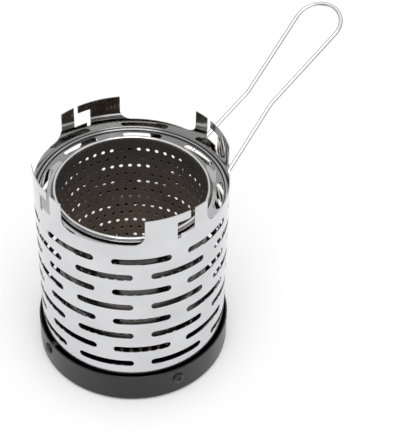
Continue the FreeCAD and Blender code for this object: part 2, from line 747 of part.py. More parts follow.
for item in doc.Objects:
    if "Invalid" in item.State or "Error" in item.State:
        raise RuntimeError("%s has failed: %s" % (item.Name, item.State))
os.makedirs("parts", exist_ok=True)
for piece in pieces:
    if piece.Shape.isNull() or not piece.Shape.isValid() or len(piece.Shape.Solids) != 1:
        raise RuntimeError("%s is not one valid solid" % piece.Label)
    piece.Shape.exportStep("parts/%s.step" % piece.Label)
    box = piece.Shape.BoundBox
    print("%-18s %9.1f mm3  x %.2f %.2f  y %.2f %.2f  z %.2f %.2f" % (
        piece.Label, piece.Shape.Volume, box.XMin, box.XMax, box.YMin, box.YMax, box.ZMin, box.ZMax))
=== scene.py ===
# %% [markdown]
# A radiant heater cover for a camping burner, dressed for a picture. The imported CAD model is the
# fixed frame: it says how large each piece is and what it moves with. This file adds what the
# eye looks for, which is round holes in their hundreds, soft bends, polish and heat colour.

# %% Load the frame
import json
import math

import bpy
from mathutils import Matrix, Quaternion, Vector
from mathutils.geometry import delaunay_2d_cdt


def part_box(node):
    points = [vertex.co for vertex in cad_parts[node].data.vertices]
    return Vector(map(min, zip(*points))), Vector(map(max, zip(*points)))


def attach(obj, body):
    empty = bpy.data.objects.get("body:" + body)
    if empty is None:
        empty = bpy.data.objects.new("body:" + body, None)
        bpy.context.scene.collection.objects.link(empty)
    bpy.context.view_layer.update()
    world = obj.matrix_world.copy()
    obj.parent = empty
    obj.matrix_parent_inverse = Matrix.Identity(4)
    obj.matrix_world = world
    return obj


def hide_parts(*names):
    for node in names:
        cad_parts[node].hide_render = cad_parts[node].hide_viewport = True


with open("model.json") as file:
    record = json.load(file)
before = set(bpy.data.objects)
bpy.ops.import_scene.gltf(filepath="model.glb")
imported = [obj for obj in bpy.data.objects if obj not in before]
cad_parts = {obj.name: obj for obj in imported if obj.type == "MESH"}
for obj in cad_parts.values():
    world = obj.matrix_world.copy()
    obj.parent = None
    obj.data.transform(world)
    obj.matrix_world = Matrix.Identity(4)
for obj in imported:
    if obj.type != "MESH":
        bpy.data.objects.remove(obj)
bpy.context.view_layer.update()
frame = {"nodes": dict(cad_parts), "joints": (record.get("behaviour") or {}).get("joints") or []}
MM = 0.001

# %% [markdown]
# The camera comes first, so that every later choice can be judged from where the photographer
# stood: above the rim, looking down at about 42 degrees, with a long lens. The picture is taller
# than it is wide, so Blender's sensor width lies along its height.

# %% Camera
PICTURE_HEIGHT = 439
FOCAL_PIXELS = 1281.25
SENSOR_WIDTH = 36.0
CAMERA_PLACE = Vector((-223.03, -443.06, 534.52)) * MM
CAMERA_AIM = Vector((0.37924, 0.63619, -0.67190))
CAMERA_ROLL = math.radians(1.958)

level_right = CAMERA_AIM.cross(Vector((0, 0, 1))).normalized()
level_up = level_right.cross(CAMERA_AIM).normalized()
right = level_right * math.cos(CAMERA_ROLL) + level_up * math.sin(CAMERA_ROLL)
up = level_up * math.cos(CAMERA_ROLL) - level_right * math.sin(CAMERA_ROLL)
camera_data = bpy.data.cameras.new("photo_camera")
camera_data.sensor_width = SENSOR_WIDTH
camera_data.lens = SENSOR_WIDTH * FOCAL_PIXELS / PICTURE_HEIGHT
camera = bpy.data.objects.new("photo_camera", camera_data)
bpy.context.scene.collection.objects.link(camera)
turned = Matrix((right, up, -CAMERA_AIM)).transposed()
camera.matrix_world = Matrix.Translation(CAMERA_PLACE) @ turned.to_4x4()
bpy.context.scene.camera = camera
print("camera lens", round(camera_data.lens, 1), "mm")

# %% [markdown]
# A few small helpers serve every material. One turns a colour written as sRGB hex, as in a paint
# program, into the linear values that Blender shades with. One adds a node, with its settings,
# its numbers and its links, in one readable line. The rest build on it: a noise whose patches
# have a real size, a gloss that wanders with such a noise, and one colour laid over another.

# %% Colour and node helpers
WHITE = (1.0, 1.0, 1.0, 1.0)
NOISE_BAND = (0.3, 0.7)


def linear(text):
    """Turn an sRGB colour such as "c8c8cc" into a linear RGBA tuple."""
    parts = [int(text[i:i + 2], 16) / 255 for i in (0, 2, 4)]
    light = [p / 12.92 if p <= 0.04045 else ((p + 0.055) / 1.055) ** 2.4 for p in parts]
    return (*light, 1.0)


def add_node(tree, kind, inputs=(), **settings):
    """Add a node. An input is a number or colour, or another node's output socket to link."""
    node = tree.nodes.new(kind)
    for name, value in settings.items():
        setattr(node, name, value)
    for name, value in dict(inputs).items():
        if isinstance(value, bpy.types.NodeSocket):
            tree.links.new(value, node.inputs[name])
        else:
            node.inputs[name].default_value = value
    return node


def new_material(name):
    """Give an empty material and its tree."""
    material = bpy.data.materials.new(name)
    material.use_nodes = True
    tree = material.node_tree
    tree.nodes.clear()
    return material, tree


def finish_material(tree, shader):
    add_node(tree, "ShaderNodeOutputMaterial", {"Surface": shader.outputs[0]})


def add_noise(tree, place, patch_size, detail):
    """A cloudy pattern whose patches are about this large, in metres."""
    return add_node(tree, "ShaderNodeTexNoise",
                    {"Vector": place, "Scale": 1 / patch_size, "Detail": detail}).outputs[0]


def add_gloss(tree, noise, roughness, smoother, rougher):
    """Let the roughness wander with a noise, from a little smoother to a little rougher."""
    return add_node(tree, "ShaderNodeMapRange",
                    {"Value": noise, "From Min": NOISE_BAND[0], "From Max": NOISE_BAND[1],
                     "To Min": roughness - smoother, "To Max": roughness + rougher}).outputs[0]


def colour_over(tree, share, under, over):
    """Lay one colour over another by this share."""
    mix = add_node(tree, "ShaderNodeMix", {"Factor": share, "A": under, "B": over},
                   data_type="RGBA")
    return mix.outputs["Result"]


print("mid grey 808080 is", round(linear("808080")[0], 3), "in linear light")

# %% [markdown]
# The sleeve and the ring are stainless steel strip with a bright annealed finish: rolled between
# polished rollers, so nearly a mirror, with a faint grain along the rolling direction and a haze
# that varies slowly. It is a full metal, so its colour is the tint of its reflection. Painted
# shade can be laid into that colour as dark circles in the valleys of a pressed sheet. The
# sleeve's two faces are made here, and the ring's steel is made with the ring, whose sizes place
# its valleys.

# %% Bright annealed stainless
GRAIN_SPACING = 0.6 * MM
GRAIN_STRETCH = 0.02
HAZE_SIZE = 25 * MM
# The colour of the painted shade in a sheet's valleys, and the most of it that covers the metal.
VALLEY_SHADE_COLOUR, VALLEY_SHADE_SHARE = "1c1a19", 0.9


def painted_shade_in_valley(tree, place, valley, half_width):
    """How much painted shade covers it: most on a circle of this radius, fading to both sides."""
    level = add_node(tree, "ShaderNodeVectorMath", {0: place, 1: (1, 1, 0)}, operation="MULTIPLY")
    radius = add_node(tree, "ShaderNodeVectorMath", {0: level.outputs[0]}, operation="LENGTH")
    past = add_node(tree, "ShaderNodeMath", {0: radius.outputs["Value"], 1: valley * MM},
                    operation="SUBTRACT")
    away = add_node(tree, "ShaderNodeMath", {0: past.outputs[0]}, operation="ABSOLUTE")
    return add_node(tree, "ShaderNodeMapRange",
                    {"Value": away.outputs[0], "From Max": half_width * MM,
                     "To Min": VALLEY_SHADE_SHARE, "To Max": 0.0},
                    interpolation_type="SMOOTHSTEP").outputs[0]


def bright_annealed_stainless(name, tint, cloudy_tint, roughness, shaded_valleys=()):
    """The valleys are (radius, half width) in millimetres, where shade is painted into the colour.
    """
    material, tree = new_material(name)
    place = add_node(tree, "ShaderNodeTexCoord").outputs["Object"]
    haze = add_noise(tree, place, HAZE_SIZE, 3.0)
    # The rollers' grain runs round the tube, so it changes with height only. The real grain is
    # far finer than this and would not show at all.
    squeezed = add_node(tree, "ShaderNodeMapping",
                        {"Vector": place, "Scale": (GRAIN_STRETCH, GRAIN_STRETCH, 1.0)})
    grain = add_noise(tree, squeezed.outputs[0], GRAIN_SPACING, 2.0)
    gloss = add_gloss(tree, haze, roughness, 0.03, 0.05)
    bump = add_node(tree, "ShaderNodeBump",
                    {"Height": grain, "Strength": 0.04, "Distance": 0.02 * MM})
    colour = colour_over(tree, haze, linear(tint), linear(cloudy_tint))
    # Each valley gets a dark circle of painted shade laid over the colour.
    for valley, half_width in shaded_valleys:
        soot = painted_shade_in_valley(tree, place, valley, half_width)
        colour = colour_over(tree, soot, colour, linear(VALLEY_SHADE_COLOUR))
    shader = add_node(tree, "ShaderNodeBsdfPrincipled",
                      {"Base Color": colour, "Metallic": 1.0, "Roughness": gloss,
                       "Normal": bump.outputs[0]})
    finish_material(tree, shader)
    return material


# Nearly white and a little hazy outside. The inside is warmer and sharper, so that its dark and
# light reflections stay crisp.
sleeve_steel = bright_annealed_stainless("bright_annealed_stainless", "c0c0c2", "dedee0", 0.1)
inside_steel = bright_annealed_stainless("bright_annealed_stainless_inside",
                                         "bcbbba", "d2d1d0", 0.05)
print("made", sleeve_steel.name, "and", inside_steel.name)

# %% [markdown]
# The perforated cylinder is the same strip, but flame has tinted it: a thin oxide film dulls it
# and makes it nearly black. Towards the closed end, which gets hottest, the tint grows lighter
# and browner, in clouds, so a slow noise breaks it up. The inside is covered with soot, which is
# no metal, so it is only partly metallic and much duller. The lip stays cool in use and
# keeps its polish, so all of this ends in a narrow band of height just below it.

# %% Heat-tinted steel
TINT_CLOUD_SIZE = 30 * MM
SOOT_GRAIN_SIZE = 1.5 * MM
LIP_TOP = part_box("radiant_cylinder")[1].z / MM
TINT_ENDS = (LIP_TOP - 1.6, LIP_TOP - 1.1)
HOT_TO_COOL = (45.0, 100.0)
HOT_TINT, COOL_TINT = 1.7, 0.1
LIP_COLOUR, LIP_ROUGHNESS = "d6d5d3", 0.1


def heat_tinted_steel(name, tint, hot_tint, roughness, metal_share):
    material, tree = new_material(name)
    place = add_node(tree, "ShaderNodeTexCoord").outputs["Object"]
    height = add_node(tree, "ShaderNodeSeparateXYZ", {0: place}).outputs["Z"]
    lip = add_node(tree, "ShaderNodeMapRange",
                   {"Value": height, "From Min": TINT_ENDS[0] * MM,
                    "From Max": TINT_ENDS[1] * MM}).outputs[0]
    cloud = add_noise(tree, place, TINT_CLOUD_SIZE, 4.0)
    soot = add_noise(tree, place, SOOT_GRAIN_SIZE, 2.0)
    depth = add_node(tree, "ShaderNodeMapRange",
                     {"Value": height, "From Min": HOT_TO_COOL[0] * MM,
                      "From Max": HOT_TO_COOL[1] * MM, "To Min": HOT_TINT, "To Max": COOL_TINT})
    heat = add_node(tree, "ShaderNodeMath", {0: cloud, 1: depth.outputs[0]},
                    operation="MULTIPLY", use_clamp=True)
    tinted = colour_over(tree, heat.outputs[0], linear(tint), linear(hot_tint))
    colour = colour_over(tree, lip, tinted, linear(LIP_COLOUR))
    dull = add_gloss(tree, soot, roughness, 0.04, 0.04)
    gloss = add_node(tree, "ShaderNodeMix", {"Factor": lip, "A": dull, "B": LIP_ROUGHNESS})
    bump = add_node(tree, "ShaderNodeBump",
                    {"Height": soot, "Strength": 0.02, "Distance": 0.02 * MM})
    metal = add_node(tree, "ShaderNodeMix", {"Factor": lip, "A": metal_share, "B": 1.0})
    shader = add_node(tree, "ShaderNodeBsdfPrincipled",
                      {"Base Color": colour, "Metallic": metal.outputs[0],
                       "Roughness": gloss.outputs[0], "Normal": bump.outputs[0]})
    finish_material(tree, shader)
    return material


cylinder_steel = heat_tinted_steel("heat_tinted_steel", "484747", "626060", 0.2, 1.0)
sooted_steel = heat_tinted_steel("sooted_steel", "565556", "b5a393", 0.42, 0.5)
print("made", cylinder_steel.name, "and", sooted_steel.name)

# %% [markdown]
# The cap is deep-drawn steel under black enamel baked at high heat. Enamel is a glassy coat, so
# it is no metal: its reflections are faint face-on and strong at a glancing angle, and a fine
# orange-peel ripple breaks them up. The screws have a thin black oxide that is duller.

# %% Black coatings
ORANGE_PEEL_SIZE = 1.2 * MM
COAT_ROUGHNESS = 0.12


def black_coating(name, colour, roughness, coat):
    material, tree = new_material(name)
    place = add_node(tree, "ShaderNodeTexCoord").outputs["Object"]
    peel = add_noise(tree, place, ORANGE_PEEL_SIZE, 1.0)
    patches = add_noise(tree, place, HAZE_SIZE, 3.0)
    gloss = add_gloss(tree, patches, roughness, 0.04, 0.06)
    bump = add_node(tree, "ShaderNodeBump",
                    {"Height": peel, "Strength": 0.05, "Distance": 0.05 * MM})
    shader = add_node(tree, "ShaderNodeBsdfPrincipled",
                      {"Base Color": linear(colour), "Roughness": gloss,
                       "Normal": bump.outputs[0], "Coat Weight": coat,
                       "Coat Roughness": COAT_ROUGHNESS})
    finish_material(tree, shader)
    return material


cap_enamel = black_coating("baked_black_enamel", "040405", 0.28, 0.02)
screw_oxide = black_coating("black_oxide_on_steel", "121212", 0.38, 0.15)
print("made", cap_enamel.name, "and", screw_oxide.name)

# %% [markdown]
# The handle is hard-drawn stainless wire, pulled through a polished die: brighter than the sheet
# and very smooth. The nuts and collars have a thin zinc plating, greyer and softer.

# %% Drawn wire and zinc
DIE_LINE_SPACING = 0.4 * MM
ZINC_GRAIN_SIZE = 0.8 * MM


def plain_metal(name, colour, roughness, grain_size):
    material, tree = new_material(name)
    place = add_node(tree, "ShaderNodeTexCoord").outputs["Object"]
    grain = add_noise(tree, place, grain_size, 2.0)
    gloss = add_gloss(tree, grain, roughness, 0.03, 0.05)
    shader = add_node(tree, "ShaderNodeBsdfPrincipled",
                      {"Base Color": linear(colour), "Metallic": 1.0, "Roughness": gloss})
    finish_material(tree, shader)
    return material


wire_steel = plain_metal("drawn_stainless_wire", "e6e6e8", 0.07, DIE_LINE_SPACING)
zinc = plain_metal("zinc_plating", "b4b7ba", 0.32, ZINC_GRAIN_SIZE)
print("made", wire_steel.name, "and", zinc.name)

# %% [markdown]
# Sheet metal and wire are both bent: straight runs joined by arcs. One helper walks along the
# corners of a run, rounds each with its bend radius and gives points with their directions. It
# serves the profiles of the pressed sheets and the centre line of the handle's wire.

# %% Bends
BEND_STEP = math.radians(12)


def bend_run(corners, radii, step=BEND_STEP):
    """Return (point, direction) pairs along a run with tangent arcs at its inner corners."""
    corners = [Vector(corner) for corner in corners]
    run = [(corners[0], (corners[1] - corners[0]).normalized())]
    for before, corner, after, radius in zip(corners, corners[1:], corners[2:], radii):
        way_in = (corner - before).normalized()
        way_out = (after - corner).normalized()
        turn = way_in.angle(way_out)
        start = corner - way_in * radius * math.tan(turn / 2)
        axis = way_in.cross(way_out).normalized()
        centre = start + axis.cross(way_in) * radius
        pieces = max(2, math.ceil(turn / step))
        for i in range(pieces + 1):
            swing = Quaternion(axis, turn * i / pieces)
            run.append((centre + swing @ (start - centre), swing @ way_in))
    run.append((corners[-1], (corners[-1] - corners[-2]).normalized()))
    return run


def profile_run(corners, radii):
    """The same for a sheet's profile, given and returned as (radius, height)."""
    run = bend_run([(r, 0, z) for r, z in corners], radii)
    return [(point.x, point.z, way.x, way.z) for point, way in run]


def distances(profile):
    """How far each point of a profile lies along it."""
    lengths = [0.0]
    for near, far in zip(profile, profile[1:]):
        lengths.append(lengths[-1] + math.hypot(far[0] - near[0], far[1] - near[1]))
    return lengths


square_corner = bend_run([(0, 0, 0), (5, 0, 0), (5, 5, 0)], [1])
print("a square corner with a 1 mm bend has", len(square_corner), "points")

# %% [markdown]
# The sleeve, the cylinder, the ring and the cap are all made the same way: punch a flat strip,
# roll it and press its profile. So one function does that. It lays the strip out flat, with a
# fine grid for smooth rolling, and lets a constrained Delaunay triangulation fit triangles round
# every punched outline. Boolean cuts would be slower here and leave long slivers. Then each
# vertex is rolled to its place, and a second skin inside gives the sheet its thickness.

# %% Pressed and punched sheet
NEARLY = 1e-4
CUT_EDGE_BLEND = 0.7


def round_hole(along, rise, radius, corners):
    return [(along + radius * math.cos(2 * math.pi * i / corners),
             rise + radius * math.sin(2 * math.pi * i / corners)) for i in range(corners)]


def long_slot(along, rise, half_length, half_height, corners):
    """A level slot with round ends, each end with this many points."""
    outline = []
    for side, start in ((1, -math.pi / 2), (-1, math.pi / 2)):
        centre = along + side * (half_length - half_height)
        for i in range(corners):
            angle = start + math.pi * i / (corners - 1)
            outline.append((centre + half_height * math.cos(angle),
                            rise + half_height * math.sin(angle)))
    return outline


def punched_triangles(width, run_lengths, outlines, columns):
    """Triangulate a flat strip of this width, with grid lines, without the punched outlines."""
    height = run_lengths[-1]
    points = [(0, 0), (width, 0), (width, height), (0, height)]
    edges = []
    faces = [[0, 1, 2, 3]]
    for outline in outlines:
        low = min(x for x, y in outline)
        high = max(x for x, y in outline)
        for shift in (-width, 0, width):
            if high + shift > 0 and low + shift < width:
                faces.append(list(range(len(points), len(points) + len(outline))))
                points += [(x + shift, y) for x, y in outline]
    for i in range(1, columns):
        edges.append((len(points), len(points) + 1))
        points += [(width * i / columns, 0), (width * i / columns, height)]
    for level in run_lengths[1:-1]:
        edges.append((len(points), len(points) + 1))
        points += [(0, level), (width, level)]
    made = delaunay_2d_cdt([Vector(point) for point in points], edges, faces, 0, 1e-5, True)
    triangles = [face for face, origins in zip(made[2], made[5]) if list(origins) == [0]]
    return made[0], triangles


def pressed_sheet(name, profile, outlines, thickness, columns, reference):
    """Build a sheet of revolution. The profile follows its outer face, in millimetres, and the
    outlines lie on the flat strip: along it at the reference radius, and up its profile."""
    lengths = distances(profile)
    width = 2 * math.pi * reference
    flat, triangles = punched_triangles(width, lengths, outlines, columns)

    places = {}
    outer, inner, normals, index_of = [], [], [], {}
    for number, spot in enumerate(flat):
        key = (round(spot.x % width, 3) % round(width, 3), round(spot.y, 3))
        if key in places:
            index_of[number] = places[key]
            continue
        places[key] = index_of[number] = len(outer)
        step = next((i for i, length in enumerate(lengths[1:]) if spot.y <= length + NEARLY),
                    len(lengths) - 2)
        part = min(1.0, max(0.0, (spot.y - lengths[step]) / (lengths[step + 1] - lengths[step])))
        r, z, way_r, way_z = (a + (b - a) * part for a, b in zip(profile[step], profile[step + 1]))
        scale = math.hypot(way_r, way_z)
        out_r, out_z = way_z / scale, -way_r / scale
        angle = spot.x / reference
        cos, sin = math.cos(angle), math.sin(angle)
        normal = Vector((out_r * cos, out_r * sin, out_z))
        point = Vector((r * cos, r * sin, z))
        outer.append(point * MM)
        inner.append((point - normal * thickness) * MM)
        normals.append(normal)

    faces = []
    sides = {}
    for triangle in triangles:
        a, b, c = (index_of[i] for i in triangle)
        if len({a, b, c}) < 3:
            continue
        faces.append((a, b, c))
        for edge in ((a, b), (b, c), (c, a)):
            sides[edge] = True
    total = len(outer)
    faces += [(c + total, b + total, a + total) for a, b, c in faces]
    rims = [(a, b) for a, b in sides if (b, a) not in sides]
    faces += [(b, a, a + total, b + total) for a, b in rims]
    mesh = bpy.data.meshes.new(name)
    mesh.from_pydata(outer + inner, [], faces)
    mesh.validate()
    mesh.polygons.foreach_set("use_smooth", [True] * len(mesh.polygons))
    return finish_skin(name, mesh, normals, total)


def finish_skin(name, mesh, normals, total):
    """Give the two skins their true normals, and the cut edges soft ones of their own. The first
    skin takes the piece's first material, the second skin and the cut edges its second."""
    rim_normals = {}
    for face in mesh.polygons:
        if len(face.vertices) == 4:
            for vertex in face.vertices:
                rim_normals.setdefault(vertex, []).append(face.normal.copy())
    custom = []
    for face in mesh.polygons:
        for vertex in face.vertices:
            if len(face.vertices) == 3:
                custom.append(normals[vertex] if vertex < total else -normals[vertex - total])
            else:
                near = [n for n in rim_normals[vertex] if n.dot(face.normal) > CUT_EDGE_BLEND]
                custom.append(sum(near, Vector()).normalized())
    mesh.normals_split_custom_set(custom)
    for face in mesh.polygons:
        face.material_index = int(max(face.vertices) >= total)
    piece = bpy.data.objects.new(name, mesh)
    bpy.context.scene.collection.objects.link(piece)
    piece.data.update()
    print(name, "has", len(mesh.polygons), "faces")
    return piece


def fit(piece, body, materials, material_slot, *nodes):
    """Dress a finished piece, hang it on its CAD body and hide the nodes that it stands for."""
    for material in materials:
        piece.data.materials.append(material)
    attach(piece, body)
    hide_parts(*nodes)


# %% [markdown]
# The sleeve is the part that shows most. Its strip has eight rows of long slots, each row half a
# pitch round from the next, and four notched tabs. Sizes are the CAD model's own, so the outline
# matches the solid, but each slot has truly round ends here.

# %% Outer sleeve
SLEEVE_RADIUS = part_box("outer_sleeve")[1].x / MM
SLEEVE_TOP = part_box("outer_sleeve")[1].z / MM
SLEEVE_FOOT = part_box("outer_sleeve")[0].z / MM
SLEEVE_SHEET = 0.5
SCALLOP_DEPTH = 15.0
SCALLOP_CORNER = 6.0
TAB_HALF_WIDTH = 17.1
WINDOW_START, WINDOW_END = -0.9, 8.9
WINDOW_SILL, WINDOW_HEIGHT = 2.1, 8.3
SLIT_WIDTH = 2.5
DETENT_WIDTH, DETENT_DEPTH = 2.1, 2.5
SLOT_ROWS, SLOTS_PER_ROW = 8, 8
SLOT_HALF_LENGTH, SLOT_HALF_HEIGHT = 14.9, 2.0
SLOT_END_POINTS = 9
SLOT_ROW_DROP, SLOT_ROW_RISE = 0.3, 9.3
SLOT_TOP_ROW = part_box("slotted_ring")[0].z / MM - SLOT_ROW_DROP - SLOT_HALF_HEIGHT
SLOT_LOW_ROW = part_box("cap")[1].z / MM + SLOT_ROW_RISE
SLOT_ROW_PITCH = (SLOT_TOP_ROW - SLOT_LOW_ROW) / (SLOT_ROWS - 1)
SLOT_TURN = 0.8
SCREW_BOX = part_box("cap_screw_1")
SCREW_HEIGHT = (SCREW_BOX[0].z + SCREW_BOX[1].z) / 2 / MM
SCREW_HOLE = 1.65
CORNER_STEPS = 8
ABOVE = 3.0
TABS = 4
GRID_COLUMNS = 144


def on_strip(chord):
    """A width measured straight across the tube, as a length along the rolled strip."""
    return SLEEVE_RADIUS * math.asin(chord / SLEEVE_RADIUS)


def scallop_outline(middle, half_width, floor, top):
    """The cut between two tabs, with a round corner at the foot of each."""
    outline = [(middle - half_width, top)]
    for side, start in ((-1, math.pi), (1, 1.5 * math.pi)):
        centre = middle + side * (half_width - SCALLOP_CORNER)
        for i in range(CORNER_STEPS + 1):
            angle = start + math.pi / 2 * i / CORNER_STEPS
            outline.append((centre + SCALLOP_CORNER * math.cos(angle),
                            floor + SCALLOP_CORNER + SCALLOP_CORNER * math.sin(angle)))
    return outline + [(middle + half_width, top)]


def window_outline(middle, sill, top):
    """The window of a tab with its slit above and its notch below, as one cut."""
    start, end = middle + on_strip(WINDOW_START), middle + on_strip(WINDOW_END)
    lintel = sill + WINDOW_HEIGHT
    return [(start, sill - DETENT_DEPTH), (start + DETENT_WIDTH, sill - DETENT_DEPTH),
            (start + DETENT_WIDTH, sill), (end, sill), (end, top), (end - SLIT_WIDTH, top),
            (end - SLIT_WIDTH, lintel), (start, lintel)]


def make_sleeve():
    quarter = math.pi / 2 * SLEEVE_RADIUS
    height = SLEEVE_TOP - SLEEVE_FOOT
    scallop_floor = height - SCALLOP_DEPTH
    outlines = []
    half_gap = quarter / 2 - on_strip(TAB_HALF_WIDTH)
    for tab in range(TABS):
        middle = tab * quarter
        outlines.append(scallop_outline(middle + quarter / 2, half_gap, scallop_floor,
                                        height + ABOVE))
        outlines.append(window_outline(middle, scallop_floor + WINDOW_SILL, height + ABOVE))
        outlines.append(round_hole(middle, SCREW_HEIGHT - SLEEVE_FOOT, SCREW_HOLE, corners=12))
    pitch = 2 * math.pi * SLEEVE_RADIUS / SLOTS_PER_ROW
    for row in range(SLOT_ROWS):
        first = math.radians(SLOT_TURN) * SLEEVE_RADIUS + (pitch / 2 if row % 2 == 0 else 0)
        rise = SLOT_TOP_ROW - SLOT_ROW_PITCH * row - SLEEVE_FOOT
        for i in range(SLOTS_PER_ROW):
            outlines.append(long_slot(first + pitch * i, rise, on_strip(SLOT_HALF_LENGTH),
                                      SLOT_HALF_HEIGHT, SLOT_END_POINTS))
    profile = profile_run([(SLEEVE_RADIUS, SLEEVE_FOOT), (SLEEVE_RADIUS, SLEEVE_TOP)], [])
    return pressed_sheet("rolled_sleeve", profile, outlines, SLEEVE_SHEET, GRID_COLUMNS,
                         SLEEVE_RADIUS)


sleeve = make_sleeve()
fit(sleeve, "cover", [sleeve_steel, inside_steel], "polished_steel", "outer_sleeve")

# %% [markdown]
# Inside stands the radiant cylinder, rolled from perforated strip: 14 rows of 50 round holes,
# each row half a pitch round from the next. The CAD solid has fewer, square ones. Its top is
# turned out and down into a round lip that hooks over the ring.

# %% Radiant cylinder
CYLINDER_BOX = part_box("radiant_cylinder")
LIP_OUTER = CYLINDER_BOX[1].x / MM
CYLINDER_FOOT = CYLINDER_BOX[0].z / MM
CYLINDER_OUTER = 39.1
CYLINDER_SHEET = 0.5
LIP_DROP = 1.4
LIP_BEND = 0.45
HOLE_ROWS, HOLES_PER_ROW = 14, 50
HOLE_ROW_DROP, HOLE_LOW_ROW = 8.3, 26.5
HOLE_TOP_ROW = LIP_TOP - HOLE_ROW_DROP
HOLE_ROW_PITCH = (HOLE_TOP_ROW - HOLE_LOW_ROW) / (HOLE_ROWS - 1)
HOLE_RADIUS = 1.1
HOLE_TURN = -0.2


def make_cylinder():
    pitch = 2 * math.pi * CYLINDER_OUTER / HOLES_PER_ROW
    outlines = []
    for row in range(HOLE_ROWS):
        first = math.radians(HOLE_TURN) * CYLINDER_OUTER + (pitch / 2 if row % 2 else 0)
        rise = HOLE_TOP_ROW - HOLE_ROW_PITCH * row - CYLINDER_FOOT
        outlines += [round_hole(first + pitch * i, rise, HOLE_RADIUS, corners=12)
                     for i in range(HOLES_PER_ROW)]
    under_lip = LIP_TOP - CYLINDER_SHEET
    profile = profile_run([(CYLINDER_OUTER, CYLINDER_FOOT), (CYLINDER_OUTER, under_lip),
                           (LIP_OUTER - CYLINDER_SHEET, under_lip),
                           (LIP_OUTER - CYLINDER_SHEET, LIP_TOP - LIP_DROP)], [LIP_BEND, LIP_BEND])
    return pressed_sheet("perforated_cylinder", profile, outlines, CYLINDER_SHEET,
                         2 * HOLES_PER_ROW, CYLINDER_OUTER)


cylinder = make_cylinder()
fit(cylinder, "cover", [cylinder_steel, sooted_steel], "heat_darkened_steel", "radiant_cylinder")

# %% [markdown]
# The ring is pressed from one disc: a flange lies along the sleeve, a bead stiffens the edge,
# eight slots let gas rise between the walls, and a collar inside holds the cylinder. Its bends
# are soft, which draws the bright and dark circles seen in polished steel.

# %% Slotted ring
RING_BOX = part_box("slotted_ring")
RING_OUTER = RING_BOX[1].x / MM
RING_FOOT = RING_BOX[0].z / MM
RING_SHEET = 0.5
RING_FLANGE, RING_GAP = 1.9, 0.1
RING_FACE = RING_FOOT + RING_FLANGE
BEAD_HEIGHT, BEAD_WIDTH = 1.0, 1.8
BEAD_TOP = RING_FACE + BEAD_HEIGHT
COLLAR_OUTER = CYLINDER_OUTER + RING_GAP + RING_SHEET
COLLAR_TOP = RING_BOX[1].z / MM
RING_SLOT_OUTER, RING_SLOT_INNER = 46.8, 43.3
RING_SLOT_HALF_ANGLE, RING_SLOT_TURN = 13.5, 10.5
RING_SLOTS = 8
BEAD_BEND, BEAD_FOOT_BEND, COLLAR_BEND = 0.75, 0.24, 0.8
# The ring's valleys that get painted shade, as (radius, half width) in millimetres.
PAINTED_SHADE_VALLEYS = ((LIP_OUTER + 0.3, 0.8), (RING_OUTER - BEAD_WIDTH, 0.55), (RING_OUTER, 0.4))

# A greyer polish than the sleeve's, with painted shade as dark circles beside the lip,
# inside the bead and at the edge.
ring_steel = bright_annealed_stainless("bright_annealed_stainless_ring", "a6a6a7", "cbcbcc", 0.08,
                                       PAINTED_SHADE_VALLEYS)


def make_ring():
    bead_inner = RING_OUTER - BEAD_WIDTH
    profile = profile_run([(RING_OUTER, RING_FOOT), (RING_OUTER, BEAD_TOP), (bead_inner, BEAD_TOP),
                           (bead_inner, RING_FACE), (COLLAR_OUTER, RING_FACE),
                           (COLLAR_OUTER, COLLAR_TOP)],
                          [BEAD_BEND, BEAD_BEND, BEAD_FOOT_BEND, COLLAR_BEND])
    lengths = distances(profile)
    # The slots lie in the flat face, so their height on the strip counts from its outer edge.
    face_start = next(i for i, point in enumerate(profile) if abs(point[1] - RING_FACE) < 1e-3)
    slot_middle = (RING_SLOT_OUTER + RING_SLOT_INNER) / 2
    half_width = (RING_SLOT_OUTER - RING_SLOT_INNER) / 2
    rise = lengths[face_start] + profile[face_start][0] - slot_middle
    half_length = math.radians(RING_SLOT_HALF_ANGLE) * slot_middle
    outlines = []
    for i in range(RING_SLOTS):
        along = math.radians(RING_SLOT_TURN + 360 / RING_SLOTS * i) * slot_middle
        outlines.append(long_slot(along, rise, half_length, half_width, SLOT_END_POINTS))
    return pressed_sheet("pressed_ring", profile, outlines, RING_SHEET, GRID_COLUMNS, slot_middle)


ring = make_ring()
fit(ring, "cover", [ring_steel, ring_steel], "polished_steel", "slotted_ring")

# %% [markdown]
# The cap is a shallow drawn cup. Its middle is pressed in and vented, its rim is flat so that it
# stands steady, and its corner is drawn round.

# %% Cap
CAP_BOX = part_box("cap")
CAP_RADIUS = CAP_BOX[1].x / MM
CAP_HEIGHT = CAP_BOX[1].z / MM
CAP_SHEET = 0.8
CAP_CORNER = 2.4
PANEL_FLAT, PANEL_EDGE, PANEL_DEPTH = 40.0, 41.6, 1.5
PANEL_BEND = 0.6
PINHOLE = 0.01
VENT_CIRCLE, VENT_RADIUS, VENT_COUNT = 32.5, 3.5, 8
VENT_CORNERS = 24
CAP_SCREWS = 4


def vent_on_strip(turn):
    """Near the middle the flat strip is stretched, so a round vent is drawn out on it to match."""
    outline = []
    for i in range(VENT_CORNERS):
        angle = -2 * math.pi * i / VENT_CORNERS
        out = VENT_CIRCLE + VENT_RADIUS * math.cos(angle)
        across = VENT_RADIUS * math.sin(angle)
        outline.append(((turn + math.atan2(across, out)) * CAP_RADIUS, math.hypot(out, across)))
    return outline


